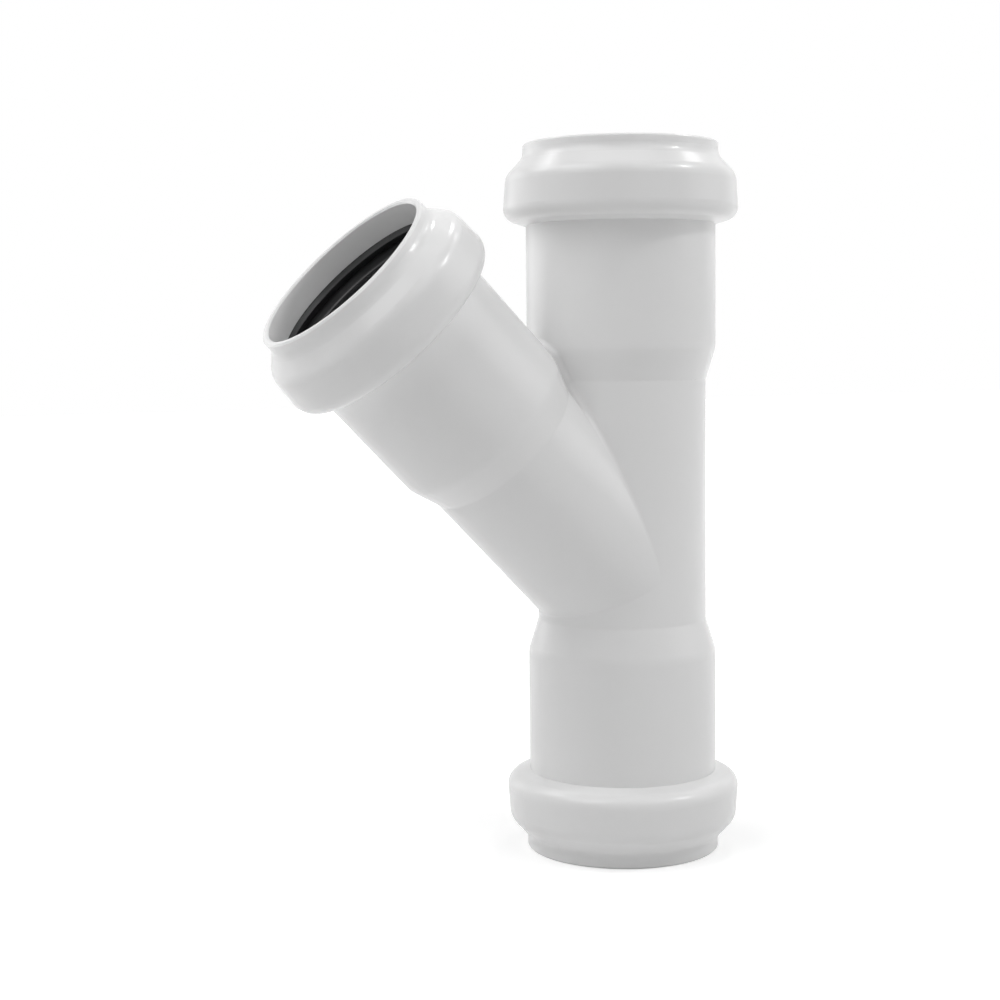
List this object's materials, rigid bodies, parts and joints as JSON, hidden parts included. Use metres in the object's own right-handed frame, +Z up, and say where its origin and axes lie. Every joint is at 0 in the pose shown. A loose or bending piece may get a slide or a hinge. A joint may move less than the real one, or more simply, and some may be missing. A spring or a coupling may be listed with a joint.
{
  "type": "lateral wye pipe fitting",
  "caption": "Push-fit waste pipe fitting that joins a side pipe at 45 degrees to a straight run, with a rubber ring seal in the bead of each socket.",
  "frame": {"origin": "centre of the lower mouth, in the plane of its rim", "axes": "+Z up the axis of the straight run, from the lower mouth to the upper; the branch leans towards -X at 45 degrees to +Z; Y is across the plane of the two axes"},
  "size_m": [0.1153, 0.0552, 0.1672],
  "materials": {
    "body": "moulded white plastic with a soft gloss",
    "seal": "black moulded rubber, slightly greased"
  },
  "bodies": {
    "root": {"wye_body": "body", "upper_seal": "seal", "lower_seal": "seal", "branch_seal": "seal"}
  },
  "joints": []
}
